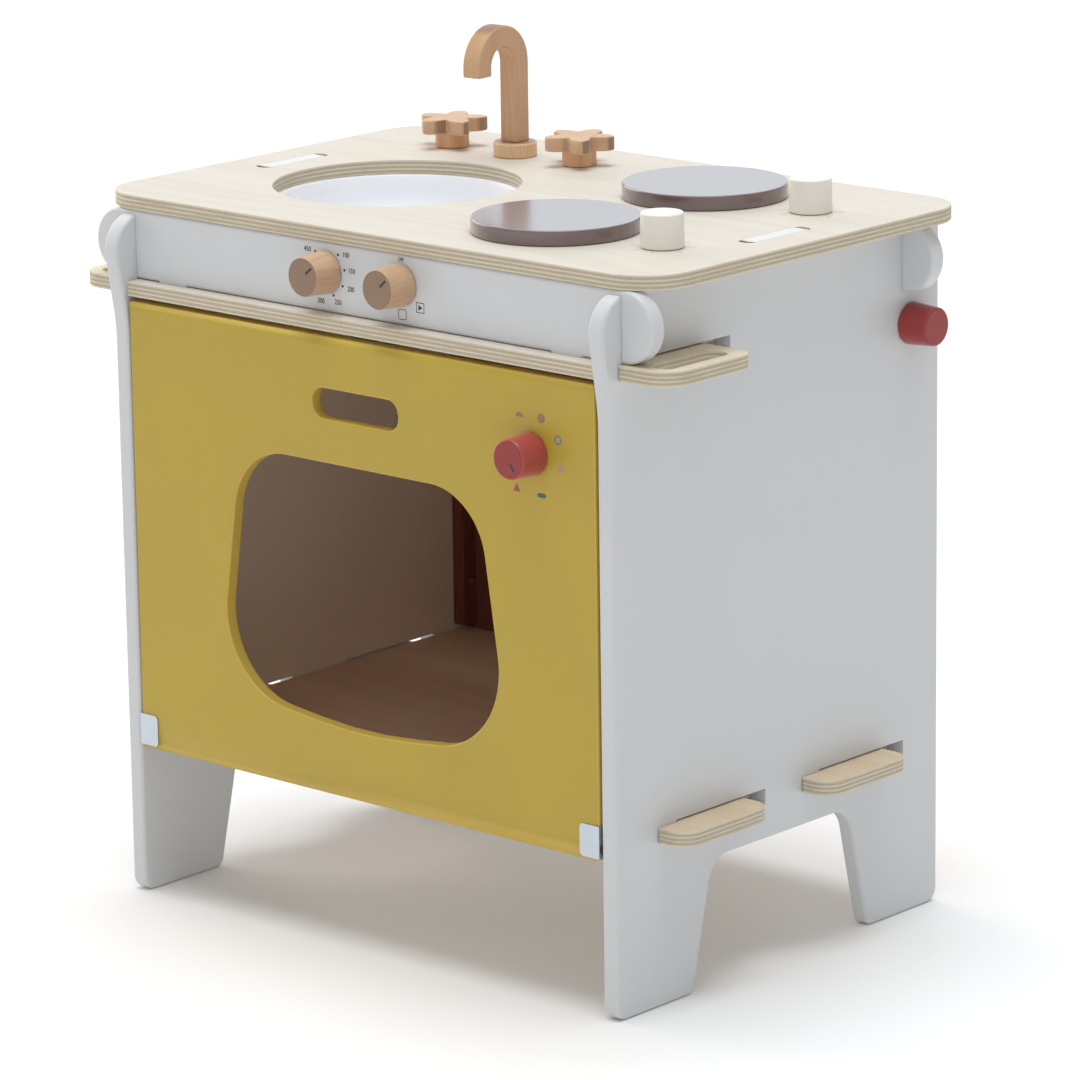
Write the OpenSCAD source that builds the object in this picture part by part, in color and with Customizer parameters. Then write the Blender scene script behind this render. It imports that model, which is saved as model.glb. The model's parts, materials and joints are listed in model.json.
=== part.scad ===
/* [Carcass] */
// Clear width between the two side panels
inner_w = 506; // [420:2:620]
// Depth of the side panels, front edge to rear edge
side_d = 401; // [340:1:460]
// Thickness of the painted boards (sides, control panel, rear panel)
board_t = 15; // [12:0.5:18]
// Thickness of the plywood (worktop and both shelves)
ply_t = 12; // [10:0.5:15]
// Height of the worktop's upper face above the floor
top_z = 588; // [540:1:660]
// Height of the oven floor's underside above the floor
floor_z = 134; // [120:1:170]
// Overhang of the worktop beyond each side panel
top_over = 32; // [20:1:45]
// Corner radius of the worktop
top_r = 43; // [15:1:50]
/* [Sink and hob] */
// Diameter of the hole for the sink
sink_d = 204; // [160:2:220]
// Sideways position of the sink
sink_x = -122; // [-150:1:-100]
// Depth of the basin below the worktop
basin_depth = 44; // [30:1:48]
// Diameter of each hob plate
plate_d = 134; // [100:2:140]
// Thickness of each hob plate
plate_t = 12.5; // [8:0.5:16]
// Sideways position of the hob plates
plate_x = 115; // [105:1:125]
/* [Door] */
// Thickness of the door
door_t = 12; // [10:0.5:12]
// Gap between the door and each side panel
door_gap = 2.4; // [2.4:0.1:4]
// Height of the door's lower edge above the floor
door_z0 = 127.5; // [125:0.5:129]
// Height of the hinge axis above the floor
hinge_z = 136.5; // [136:0.5:138]
/* [Knobs] */
// Larger diameter of a turned knob, at its base
knob_d = 34.5; // [30:0.5:40]
// Smaller diameter of a turned knob, at its face
knob_face_d = 31.5; // [26:0.5:34]
// Length of a turned knob
knob_l = 26.5; // [20:0.5:30]
// Diameter of the shank that each knob turns on
shank_d = 6; // [4:0.5:7]
/* [Tap] */
// Height of the tap's bend centre above the worktop
bend_h = 80; // [60:1:100]
// Radius of the tap's bend, at its middle line
bend_r = 24.5; // [20:0.5:30]
// Side of the tap's square section
tap_s = 17.5; // [14:0.5:18]
// Angle at which the spout stands in the rest pose
tap_yaw = 4; // [0:1:20]
/* [Hidden] */
$fn = 96;
white = [0.90, 0.91, 0.92];
ply = [0.86, 0.79, 0.66];
beech = [0.80, 0.60, 0.43];
yellow = [0.80, 0.64, 0.20];
red = [0.72, 0.24, 0.24];
cream = [0.93, 0.90, 0.82];
mauve = [0.52, 0.45, 0.48];
steel = [0.72, 0.74, 0.77];
brown = [0.26, 0.15, 0.11];
c = 0.2;                           // play between parts that are slid together
xi = inner_w / 2;                  // inner face of a side panel
xo = xi + board_t;                 // outer face of a side panel
xm = xi + board_t / 2;             // middle plane of a side panel
zt = top_z - ply_t;                // underside of the worktop
rail_h = 56.5;                     // height of the control panel and the rear panel
shelf_top = zt - 57;               // upper face of the upper shelf
shelf_z = shelf_top - ply_t;
floor_top = floor_z + ply_t;       // upper face of the oven floor
rail_z = shelf_top + 0.3;          // lower edge of the two rails
half_z = rail_z + rail_h / 2;      // bottom of the halving joints
cp_y = 12.5;                       // front face of the control panel
rp_y = side_d - 48.4;              // front face of the rear panel
top_y0 = 11.6;                     // front edge of the worktop
top_y1 = side_d + 2.2;             // rear edge of the worktop
lobe_r = 29.3;                     // round ear at the top of a side's front edge
lobe_y = 19.5;
lobe_z = half_z - 4;
tong_l = 105;                      // length of a tongue of the oven floor
tong_x = 29;                       // how far a tongue stands out
hook = 23;                         // length that locks behind the side panel
slot_l = 108;
slot1 = 72;                        // front ends of the two floor slots
slot2 = side_d - 45.5 - slot_l;
loop_y0 = 8;                       // loop grip of the upper shelf
loop_l = 102;
loop_x = 50.5;
uslot = loop_y0 + 24;              // front end of the loop's slot
tab_x0 = 196;                      // locking tabs of the two rails
tab_w = 33;
tenon_y0 = 171;                    // tenon of a side through the worktop
tenon_l = 64;
back_t = 3;
bat_w = 13;
bat_d = 15;
back_y = side_d - back_t;
door_hw = xi - door_gap;           // half the width of the door
door_z1 = shelf_z - 4;             // upper edge of the door
hinge_y = door_t / 2;
clip_t = 1.2;
pin_d = 5;
tap_x = sink_x - 5.5;              // the tap's column, between its two handles
tap_y = side_d - 67.5;
handle_dx = 71.5;
sink_y = 184;
plate_y1 = 112;
plate_y2 = 292;
bknob_x = plate_x + 109;
knob_x1 = -39;                     // the two knobs of the control panel
knob_x2 = 41.2;
knob_z = shelf_top + 32.6;
dknob = [186.6, 440.7];
sknob = [363.7, 492.2];
lift = 0.3;                        // gap between a knob and its board
head_t = 3;
fit = 0.05;                        // radial clearance of a shank
mid_y = (top_y1 - knob_l - lift) / 2;   // middle of the overall depth

// The depth origin lies midway between the door knob's face and the worktop's rear edge.
module placed() { translate([0, -mid_y, 0]) children(); }

// Arc of radius r that rounds the corner b between a and e
function turn(a, b, e, r) =
    r <= 0 ? [b] :
    let (u = (a - b) / norm(a - b), v = (e - b) / norm(e - b),
         th = acos(max(-1, min(1, u * v))), t = r / tan(th / 2),
         p = b + u * t, q = b + v * t,
         m = (u + v) / norm(u + v), o = b + m * (r / sin(th / 2)),
         a0 = atan2(p[1] - o[1], p[0] - o[0]), a1 = atan2(q[1] - o[1], q[0] - o[0]),
         d = ((a1 - a0) % 360 + 540) % 360 - 180, n = max(2, ceil(abs(d) / 6)))
    [for (i = [0:n]) o + r * [cos(a0 + d * i / n), sin(a0 + d * i / n)]];
// Outline through corners [x, y, r], each rounded to its own radius
function rounded(p) = let (n = len(p))
    [for (i = [0:n - 1], q = turn([p[(i + n - 1) % n][0], p[(i + n - 1) % n][1]],
        [p[i][0], p[i][1]], [p[(i + 1) % n][0], p[(i + 1) % n][1]], p[i][2])) q];
// Point where a line from p touches a circle
function touch(p, o, r, s) = let (v = p - o, g = acos(r / norm(v)), b = atan2(v[1], v[0]))
    o + r * [cos(b + s * g), sin(b + s * g)];
function mirrored(p) = [for (i = [len(p) - 1:-1:0]) [-p[i][0], p[i][1], p[i][2]]];

module pad(x0, x1, y0, y1, r) {
    polygon(rounded([[x0, y0, r], [x1, y0, r], [x1, y1, r], [x0, y1, r]]));
}
module box(x0, x1, y0, y1, z0, z1) {
    translate([x0, y0, z0]) cube([x1 - x0, y1 - y0, z1 - z0]);
}
module flat(z, t) { translate([0, 0, z]) linear_extrude(t) children(); }
// Outline in the YZ plane, pushed along +X
module sidewise(x, t) { translate([x, 0, 0]) rotate([90, 0, 90]) linear_extrude(t) children(); }
// Outline in the XZ plane, pushed along +Y
module upright(y, t) { translate([0, y + t, 0]) rotate([90, 0, 0]) linear_extrude(t) children(); }

// ---- side panels ----
leg_in = 91.5;
module side_outline() {
    foot = [0, 480];
    tp = touch(foot, [lobe_y, lobe_z], lobe_r, -1);
    tq = touch(foot, [lobe_y, lobe_z], lobe_r, 1);
    tt = tp[0] < tq[0] ? tp : tq;
    polygon(rounded([[0, 0, 12], [leg_in, 0, 8], [leg_in + 24.3, 105.5, 24],
        [side_d - leg_in - 24.3, 105.5, 24], [side_d - leg_in, 0, 8], [side_d, 0, 12],
        [side_d, zt, 6], [lobe_y + 3, zt, 0], [lobe_y + 3, lobe_z, 0],
        [tt[0], tt[1], 0], [0, foot[1], 140]]));
    translate([lobe_y, lobe_z]) circle(lobe_r);
    translate([tenon_y0, zt - 5]) square([tenon_l, ply_t + 5]);
}
module side_panel() {
    difference() {
        sidewise(xi, board_t) side_outline();
        // halving joints for the two rails
        box(xi - 1, xo + 1, cp_y - c, cp_y + board_t + c, half_z, top_z + 1);
        box(xi - 1, xo + 1, rp_y - c, rp_y + board_t + c, half_z, top_z + 1);
        // slots for the shelf tongues
        for (y = [slot1, slot2]) box(xi - 1, xo + 1, y, y + slot_l, floor_z, floor_top + 1.3);
        box(xi - 1, xo + 1, uslot, uslot + slot_l, shelf_z, shelf_top + 1.3);
        // blind mortise for the upper shelf's rear stub
        box(xi - 1, xi + 7, 249.8, 356, shelf_z, shelf_top + 1.3);
        // hinge bore
        translate([xi - 1, hinge_y, hinge_z]) rotate([0, 90, 0]) cylinder(h = 11.5, d = pin_d + 2 * fit);
        // pilot holes of the batten screws
        for (z = batten_z) translate([xi - 1, batten_y, z]) rotate([0, 90, 0]) cylinder(h = 9, d = 2.8);
    }
}
batten_z = [190, 330, 470];
batten_y = back_y - bat_d / 2;
module left_side() { color(white) placed() mirror([1, 0, 0]) side_panel(); }
module right_side() {
    color(white) placed() difference() {
        side_panel();
        translate([xi - 1, sknob[0], sknob[1]]) rotate([0, 90, 0]) cylinder(h = board_t + 2, d = shank_d + 2 * fit);
    }
}

// ---- shelves ----
module tongue(y, l, neck0, neck1, out) {
    // neck inside the side panel's slot, then the locking lobe outside it
    translate([xi - 2, neck0]) square([board_t + 4, neck1 - neck0]);
    pad_lobe(xo + c, xo + out, y, y + l);
}
module pad_lobe(x0, x1, y0, y1) {
    polygon(rounded([[x0, y0, 2], [x1, y0, 18], [x1, y1, 16], [x0, y1, 0]]));
}
module bottom_shelf() {
    color(ply) placed() flat(floor_z, ply_t) {
        translate([-(xi - c), 17.5]) square([2 * (xi - c), back_y - 17.5]);
        for (s = [0, 1]) mirror([s, 0]) {
            tongue(slot1 - hook, tong_l, slot1 + 0.1, slot1 - hook + tong_l, tong_x);
            tongue(slot2 - hook, tong_l, slot2 + 0.1, slot2 - hook + tong_l, tong_x);
        }
    }
}
module upper_shelf() {
    color(ply) placed() difference() {
      flat(shelf_z, ply_t) difference() {
        union() {
            translate([-(xi - c), 0.5]) square([2 * (xi - c), 373.5]);
            for (s = [0, 1]) mirror([s, 0]) {
                translate([xi - 2, uslot + 0.1]) square([board_t + 4, loop_y0 + loop_l - uslot - 0.1]);
                polygon(rounded([[xo + c, loop_y0, 2], [xo + loop_x, loop_y0, 24],
                    [xo + loop_x, loop_y0 + loop_l, 15], [xo + c, loop_y0 + loop_l, 0]]));
                // stub in the blind mortise
                translate([xi - 2, 250]) square([2 + 6.7, 80]);
            }
        }
        for (s = [0, 1]) mirror([s, 0]) {
            pad(xo + 18.5, xo + 39, loop_y0 + 12, loop_y0 + loop_l - 14, 10);
            for (y = [cp_y, rp_y]) translate([tab_x0 - 0.3, y - c]) square([tab_w + 0.6, board_t + 2 * c]);
        }
      }
      // pilot holes of the catch screws
      for (s = [-1, 1]) translate([s * 27.5, cy0 + 11.5, shelf_z - 1]) cylinder(h = 8.5, d = 2.6);
    }
}

// ---- rails: control panel and rear panel ----
end_r = rail_h / 2;
end_x = xo + 3;
module rail() {
    difference() {
        union() {
            pad(-end_x - end_r, end_x + end_r, rail_z, rail_z + rail_h, end_r - 0.01);
            for (x = [-tab_x0 - tab_w, tab_x0]) translate([x, shelf_top - 11]) square([tab_w, 24]);
        }
        for (s = [0, 1]) mirror([s, 0]) translate([xi - c, rail_z - 1]) square([board_t + 2 * c, rail_h / 2 + 1]);
    }
}
module control_panel() {
    color(white) placed() difference() {
        upright(cp_y, board_t) rail();
        for (x = [knob_x1, knob_x2]) translate([x, cp_y - 1, knob_z]) rotate([-90, 0, 0])
            cylinder(h = board_t + 2, d = shank_d + 2 * fit);
    }
}
module rear_panel() { color(white) placed() upright(rp_y, board_t) rail(); }

// ---- worktop ----
module worktop() {
    color(ply) placed() difference() {
        flat(zt, ply_t) difference() {
            pad(-(xo + top_over), xo + top_over, top_y0, top_y1, top_r);
            translate([sink_x, sink_y]) circle(d = sink_d, $fn = 180);
            for (s = [0, 1]) mirror([s, 0])
                pad(xi - 0.2, xo + 0.2, tenon_y0 - 6.2, tenon_y0 + tenon_l + 6.2, 6);
            for (x = [tap_x - handle_dx, tap_x + handle_dx]) translate([x, tap_y]) circle(d = shank_d + 2 * fit);
            for (y = [plate_y1, plate_y2]) translate([bknob_x, y]) circle(d = shank_d + 2 * fit);
            translate([tap_x, tap_y]) circle(d = 8.1);
        }
        for (y = [plate_y1, plate_y2], s = [-1, 1]) translate([plate_x + s * 35, y, zt - 1])
            cylinder(h = ply_t + 2, d = 4.1);
        for (a = [45:90:359]) translate([sink_x + 109 * cos(a), sink_y + 109 * sin(a), zt - 1])
            cylinder(h = 8.5, d = 2.6);
    }
}

// ---- back of the oven ----
module back_panel() {
    color(brown) placed() difference() {
        box(-(xi - 0.4), xi - 0.4, back_y, side_d, floor_z, shelf_z);
        for (s = [-1, 1], z = back_screw_z) translate([s * (xi - bat_w / 2), back_y - 1, z]) rotate([-90, 0, 0])
            cylinder(h = back_t + 2, d = 3.1);
    }
}
back_screw_z = [170, 265, 385, 490];
module batten() {
    difference() {
        box(xi - bat_w, xi, back_y - bat_d, back_y, floor_top + 5, shelf_z);
        for (z = batten_z) translate([xi - bat_w - 1, batten_y, z]) rotate([0, 90, 0]) cylinder(h = bat_w + 2, d = 3.1);
        for (z = back_screw_z) translate([xi - bat_w / 2, back_y - 10, z]) rotate([-90, 0, 0]) cylinder(h = 11, d = 2.6);
    }
}
module left_batten() { color(brown) placed() mirror([1, 0, 0]) batten(); }
module right_batten() { color(brown) placed() batten(); }
// Pan-head wood screw: head from z = 0 to h, shank below it
module screw(l, d, hd, h) { cylinder(h = h, d = hd); translate([0, 0, -l]) cylinder(h = l, d = d); }
module batten_screws() {
    color(steel) placed() for (s = [0, 1]) mirror([s, 0, 0]) for (z = batten_z)
        translate([xi - bat_w, batten_y, z]) rotate([0, -90, 0]) screw(bat_w + 7.5, 2.7, 6, 1.8);
}
module back_panel_screws() {
    color(steel) placed() for (s = [-1, 1], z = back_screw_z)
        translate([s * (xi - bat_w / 2), side_d, z]) rotate([-90, 0, 0]) screw(back_t + 9.5, 2.5, 5.6, 1.6);
}

// ---- door ----
// Window: straight top, sides leaning outward, a wide round bottom
win_half = [[140, 196, 71], [149, 262, 60], [128.5, 400.3, 58]];
module window_outline() {
    polygon(rounded(concat([[0, 180.5, 480]], win_half, mirrored(win_half))));
}
module door() {
    color(yellow) placed() difference() {
        upright(0, door_t) difference() {
            pad(-door_hw, door_hw, door_z0, door_z1, 2);
            window_outline();
            pad(-46.5, 46.5, 436.3, 461, 11.5);
        }
        translate([dknob[0], -1, dknob[1]]) rotate([-90, 0, 0]) cylinder(h = door_t + 2, d = shank_d + 2 * fit);
        // pilot holes for the hinge clips and the strike plate
        for (s = [-1, 1]) translate([s * (door_hw - 10), door_t - 7, hinge_z + 12]) rotate([-90, 0, 0]) cylinder(h = 8, d = 2.4);
        for (s = [-1, 1]) translate([s * 12, door_t - 7, door_z1 - 8.5]) rotate([-90, 0, 0]) cylinder(h = 8, d = 2.4);
    }
}
// U-shaped metal clip that wraps a lower corner of the door and carries its pin
clip_z0 = 129.5;
clip_z1 = 156;
module clip() {
    x1 = door_hw + clip_t;
    difference() {
        union() {
            upright(-clip_t, clip_t) polygon(rounded([[x1 - 20, clip_z0, 4], [x1, clip_z0, 0], [x1, clip_z1, 0], [x1 - 20, clip_z1, 4]]));
            upright(door_t, clip_t) polygon(rounded([[x1 - 20, clip_z0, 4], [x1, clip_z0, 0], [x1, clip_z1, 0], [x1 - 20, clip_z1, 4]]));
            box(door_hw, x1, -clip_t, door_t + clip_t, clip_z0, clip_z1);
        }
        translate([door_hw - 10, door_t - 1, hinge_z + 12]) rotate([-90, 0, 0]) cylinder(h = 4, d = 2.6);
        translate([door_hw - 1, hinge_y, hinge_z]) rotate([0, 90, 0]) cylinder(h = 4, d = pin_d - 1);
    }
}
module left_hinge_clip() { color(steel) placed() mirror([1, 0, 0]) clip(); }
module right_hinge_clip() { color(steel) placed() clip(); }
module clip_screws() {
    color(steel) placed() for (s = [-1, 1])
        translate([s * (door_hw - 10), door_t + clip_t, hinge_z + 12]) rotate([-90, 0, 0]) screw(7.2, 2.3, 5, 1.4);
}
// Pin riveted in the clip's web, turning in the side panel
module pin() {
    translate([door_hw, hinge_y, hinge_z]) rotate([0, 90, 0]) {
        cylinder(h = clip_t, d = pin_d - 1);
        translate([0, 0, clip_t]) cylinder(h = door_gap - clip_t + 9.6, d = pin_d);
    }
}
module left_hinge_pin() { color(steel) placed() mirror([1, 0, 0]) pin(); }
module right_hinge_pin() { color(steel) placed() pin(); }
module hinge_washers() {
    color([0.16, 0.16, 0.17]) placed() for (s = [0, 1]) mirror([s, 0, 0])
        translate([door_hw + clip_t + 0.1, hinge_y, hinge_z]) rotate([0, 90, 0]) difference() {
            cylinder(h = door_gap - clip_t - 0.1, d = 10.5);
            translate([0, 0, -1]) cylinder(h = 5, d = pin_d + 2 * fit);
        }
}

// ---- magnetic catch under the upper shelf ----
cz1 = shelf_z;
cy0 = door_t + 1.4;
module catch_housing() {
    color([0.86, 0.86, 0.85]) placed() difference() {
        union() {
            box(-22, 22, cy0 + 0.5, cy0 + 17, cz1 - 14, cz1);
            box(-33, 33, cy0 + 6, cy0 + 17, cz1 - 3, cz1);
        }
        box(-15, 15, cy0 - 1, cy0 + 12, cz1 - 12, cz1 - 4);
        for (s = [-1, 1]) translate([s * 27.5, cy0 + 11.5, cz1 - 4]) cylinder(h = 5, d = 3.2);
    }
}
module catch_magnet() { color([0.3, 0.3, 0.32]) placed() box(-14.9, 14.9, cy0, cy0 + 12, cz1 - 11.9, cz1 - 4.1); }
module catch_screws() {
    color(steel) placed() for (s = [-1, 1]) translate([s * 27.5, cy0 + 11.5, cz1 - 3]) rotate([180, 0, 0]) screw(10, 2.5, 5.6, 1.6);
}
module strike_plate() {
    color(steel) placed() difference() {
        upright(door_t, 1.2) pad(-19, 19, door_z1 - 15, door_z1 - 2, 3);
        for (s = [-1, 1]) translate([s * 12, door_t - 1, door_z1 - 8.5]) rotate([-90, 0, 0]) cylinder(h = 4, d = 2.6);
    }
}
module strike_screws() {
    color(steel) placed() for (s = [-1, 1]) translate([s * 12, door_t + 1.2, door_z1 - 8.5]) rotate([-90, 0, 0])
        translate([0, 0, -7]) cylinder(h = 7, d = 2.3);
}

// ---- turned knobs ----
// Base on z = 0, face at z = l with an edge of radius e; the pointer groove runs outwards from radius g0 over a length g
module knob(d, df, l, e, ang, g0, g) {
    difference() {
        rotate_extrude() polygon(concat([[0, 0], [d / 2 - 1, 0], [d / 2, 1]],
            [[df / 2, l - e]], [for (i = [1:5]) [df / 2 - e + e * cos(90 * i / 5), l - e + e * sin(90 * i / 5)]], [[0, l]]));
        translate([0, 0, -1]) cylinder(h = 15, d = 4);
        if (g > 0) rotate([0, 0, ang]) translate([g0, -0.8, l - 0.8]) cube([g, 1.6, 2]);
    }
}
// Steel shoulder screw: head and shank behind the board, thread up in the knob
module spindle(t) {
    translate([0, 0, -t - head_t - 1.6]) cylinder(h = head_t, d = 12);
    translate([0, 0, -t - 1.7]) cylinder(h = t + 1.7, d = shank_d);
    translate([0, 0, -0.1]) cylinder(h = 12, d = 4);
}
module washer() {
    difference() { cylinder(h = 1.2, d = 14); translate([0, 0, -1]) cylinder(h = 4, d = shank_d + 0.6); }
}
module face_front(x, y, z) { translate([x, y, z]) rotate([90, 0, 0]) children(); }
module face_right(x, y, z) { translate([x, y, z]) rotate([90, 0, 0]) rotate([0, 90, 0]) children(); }
tk = [knob_x1, cp_y - lift, knob_z];
pk = [knob_x2, cp_y - lift, knob_z];
module temperature_knob() { color(beech) placed() face_front(tk[0], tk[1], tk[2]) knob(knob_d, knob_face_d, knob_l, 1, 40, 4.8, 8); }
module program_knob() { color(beech) placed() face_front(pk[0], pk[1], pk[2]) knob(knob_d, knob_face_d, knob_l, 1, 42, 4.2, 8); }
module temperature_spindle() { color(steel) placed() face_front(tk[0], tk[1], tk[2]) spindle(board_t + lift); }
module program_spindle() { color(steel) placed() face_front(pk[0], pk[1], pk[2]) spindle(board_t + lift); }
module door_knob() { color(red) placed() face_front(dknob[0], -lift, dknob[1]) knob(knob_d, knob_face_d, knob_l, 2, -54, 3.7, 6.5); }
module door_knob_spindle() { color(steel) placed() face_front(dknob[0], -lift, dknob[1]) spindle(door_t + lift); }
module door_knob_washer() { color(steel) placed() translate([dknob[0], door_t, dknob[1]]) rotate([-90, 0, 0]) washer(); }
module side_knob() { color(red) placed() face_right(xo + lift, sknob[0], sknob[1]) knob(knob_d, knob_face_d, knob_l, 2, 0, 0, 0); }
module side_knob_spindle() { color(steel) placed() face_right(xo + lift, sknob[0], sknob[1]) spindle(board_t + lift); }
module burner_knob(y) { translate([bknob_x, y, top_z + lift]) knob(34.5, 33.5, 27.5, 1.5, 40, 10.5, 3); }
module front_burner_knob() { color(cream) placed() burner_knob(plate_y1); }
module rear_burner_knob() { color(cream) placed() burner_knob(plate_y2); }
module front_burner_spindle() { color(steel) placed() translate([bknob_x, plate_y1, top_z + lift]) spindle(ply_t + lift); }
module rear_burner_spindle() { color(steel) placed() translate([bknob_x, plate_y2, top_z + lift]) spindle(ply_t + lift); }
module spindle_washers() {
    color(steel) placed() {
        for (x = [knob_x1, knob_x2]) translate([x, cp_y + board_t, knob_z]) rotate([-90, 0, 0]) washer();
        translate([xi, sknob[0], sknob[1]]) rotate([0, -90, 0]) washer();
        for (y = [plate_y1, plate_y2]) translate([bknob_x, y, zt - 1.2]) washer();
        for (s = [-1, 1]) translate([tap_x + s * handle_dx, tap_y, zt - 1.2]) washer();
    }
}

// ---- hob ----
module plate() {
    difference() {
        rotate_extrude($fn = 160) polygon([[0, 0], [plate_d / 2 - 1, 0], [plate_d / 2, 1],
            [plate_d / 2, plate_t - 1.5], [plate_d / 2 - 0.5, plate_t - 0.5], [plate_d / 2 - 1.5, plate_t], [0, plate_t]]);
        for (s = [-1, 1]) translate([s * 35, 0, -1]) cylinder(h = 9.5, d = 3);
    }
}
module front_hob_plate() { color(mauve) placed() translate([plate_x, plate_y1, top_z]) plate(); }
module rear_hob_plate() { color(mauve) placed() translate([plate_x, plate_y2, top_z]) plate(); }
module hob_screws() {
    color(steel) placed() for (y = [plate_y1, plate_y2], s = [-1, 1]) translate([plate_x + s * 35, y, zt])
        rotate([180, 0, 0]) { cylinder(h = 2.2, d = 8); translate([0, 0, -ply_t]) cylinder(h = ply_t, d = 4);
            translate([0, 0, -ply_t - 8]) cylinder(h = 8, d = 2.9); }
}

// ---- tap ----
star_t = 12;
hub_h = 13.2;
// Five rounded fingers: the radius swings between the root and the tip
function star_pts(r0, r1) = [for (i = [0:119]) let (a = i * 3, k = pow((1 + cos(5 * a)) / 2, 0.75))
    (r0 + (r1 - r0) * k) * [cos(a), sin(a)]];
module star(ang) {
    difference() {
        rotate([0, 0, ang]) linear_extrude(star_t) polygon(star_pts(15.5, 30));
        translate([0, 0, -1]) cylinder(h = 9, d = 8.2);
    }
}
module hub() {
    difference() {
        cylinder(h = hub_h, d = 28.4);
        translate([0, 0, -1]) cylinder(h = hub_h + 2, d = 8.2);
    }
}
// The handle's shank runs up through the hub into the star
module tap_spindle() {
    translate([0, 0, -ply_t - lift - head_t - 1.6]) cylinder(h = head_t, d = 12);
    translate([0, 0, -ply_t - lift - 1.7]) cylinder(h = ply_t + lift + 1.7, d = shank_d);
    translate([0, 0, -0.1]) cylinder(h = hub_h + 6, d = 8);
}
module at_handle(s) { translate([tap_x + s * handle_dx, tap_y, top_z + lift]) children(); }
module left_tap_hub() { color(beech) placed() at_handle(-1) hub(); }
module left_tap_star() { color(beech) placed() at_handle(-1) translate([0, 0, hub_h]) star(44); }
module left_tap_spindle() { color(steel) placed() at_handle(-1) tap_spindle(); }
module right_tap_hub() { color(beech) placed() at_handle(1) hub(); }
module right_tap_star() { color(beech) placed() at_handle(1) translate([0, 0, hub_h]) star(26); }
module right_tap_spindle() { color(steel) placed() at_handle(1) tap_spindle(); }
collar_h = 12.5;
module spout_collar() {
    color(beech) placed() translate([tap_x, tap_y, top_z]) difference() {
        rotate_extrude() polygon([[0, 0], [17.3, 0], [18.3, 1], [18.3, collar_h - 1.2], [17.1, collar_h], [0, collar_h]]);
        translate([0, 0, -1]) cylinder(h = collar_h + 2, d = 8.1);
    }
}
// Squared bar: a straight column, a half-round bend and a short drop
module spout() {
    h = tap_s / 2;
    z0 = collar_h + lift;
    color(beech) placed() translate([tap_x, tap_y, top_z]) rotate([0, 0, tap_yaw]) difference() {
        union() {
            flat(z0, bend_h - z0) polygon(rounded([[-h, -h, 1.6], [h, -h, 1.6], [h, h, 1.6], [-h, h, 1.6]]));
            translate([0, -bend_r, bend_h]) rotate([0, 90, 0]) rotate([0, 0, 90])
                translate([0, 0, -h]) intersection() {
                    rotate_extrude($fn = 120) translate([bend_r - h, 0]) square([tap_s, tap_s]);
                    translate([-60, 0, -1]) cube([120, 60, tap_s + 2]);
                }
            translate([-h, -2 * bend_r - h, bend_h - 7]) cube([tap_s, tap_s, 7]);
        }
        translate([0, 0, -1]) cylinder(h = 45, d = 5);
    }
}
module spout_bolt() {
    color(steel) placed() translate([tap_x, tap_y, zt]) {
        translate([0, 0, -3.3]) cylinder(h = 3, d = 14);
        translate([0, 0, -0.4]) cylinder(h = ply_t + collar_h + lift + 0.4, d = 8);
        translate([0, 0, ply_t + collar_h + lift - 0.1]) cylinder(h = 25, d = 5);
    }
}

// ---- sink ----
module sink_basin() {
    r = sink_d / 2 - 2;
    w = 2.4;
    color([0.93, 0.93, 0.96]) placed() translate([sink_x, sink_y, zt]) difference() {
        rotate_extrude($fn = 160) polygon(concat(
            [[0, -basin_depth]], [for (i = [0:8]) [r - 34 + 34 * sin(90 * i / 8) * 0.94, -basin_depth + 30 - 30 * cos(90 * i / 8)]],
            [[r + 0.3, -w], [r + 13, -w], [r + 13, 0], [r - w, 0], [r - w - 1.8, -6]],
            [for (i = [8:-1:0]) [r - 34 + (34 * 0.94 - w) * sin(90 * i / 8), -basin_depth + w + 30 - 30 * cos(90 * i / 8)]],
            [[0, -basin_depth + w]]));
        for (a = [45:90:359]) translate([109 * cos(a), 109 * sin(a), -w - 1]) cylinder(h = w + 2, d = 3.2);
    }
}
module basin_screws() {
    color(steel) placed() for (a = [45:90:359]) translate([sink_x + 109 * cos(a), sink_y + 109 * sin(a), zt - 2.4])
        rotate([180, 0, 0]) { cylinder(h = 1.8, d = 6); translate([0, 0, -9.5]) cylinder(h = 9.5, d = 2.5); }
}

left_side();
right_side();
bottom_shelf();
upper_shelf();
control_panel();
rear_panel();
worktop();
back_panel();
left_batten();
right_batten();
batten_screws();
back_panel_screws();
door();
left_hinge_clip();
right_hinge_clip();
clip_screws();
left_hinge_pin();
right_hinge_pin();
hinge_washers();
catch_housing();
catch_magnet();
catch_screws();
strike_plate();
strike_screws();
temperature_knob();
temperature_spindle();
program_knob();
program_spindle();
door_knob();
door_knob_spindle();
door_knob_washer();
side_knob();
side_knob_spindle();
front_burner_knob();
front_burner_spindle();
rear_burner_knob();
rear_burner_spindle();
spindle_washers();
front_hob_plate();
rear_hob_plate();
hob_screws();
left_tap_star();
left_tap_hub();
left_tap_spindle();
right_tap_star();
right_tap_hub();
right_tap_spindle();
spout();
spout_collar();
spout_bolt();
sink_basin();
basin_screws();
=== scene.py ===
import bpy, bmesh, json, math, random
from mathutils import Vector, Matrix

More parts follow.
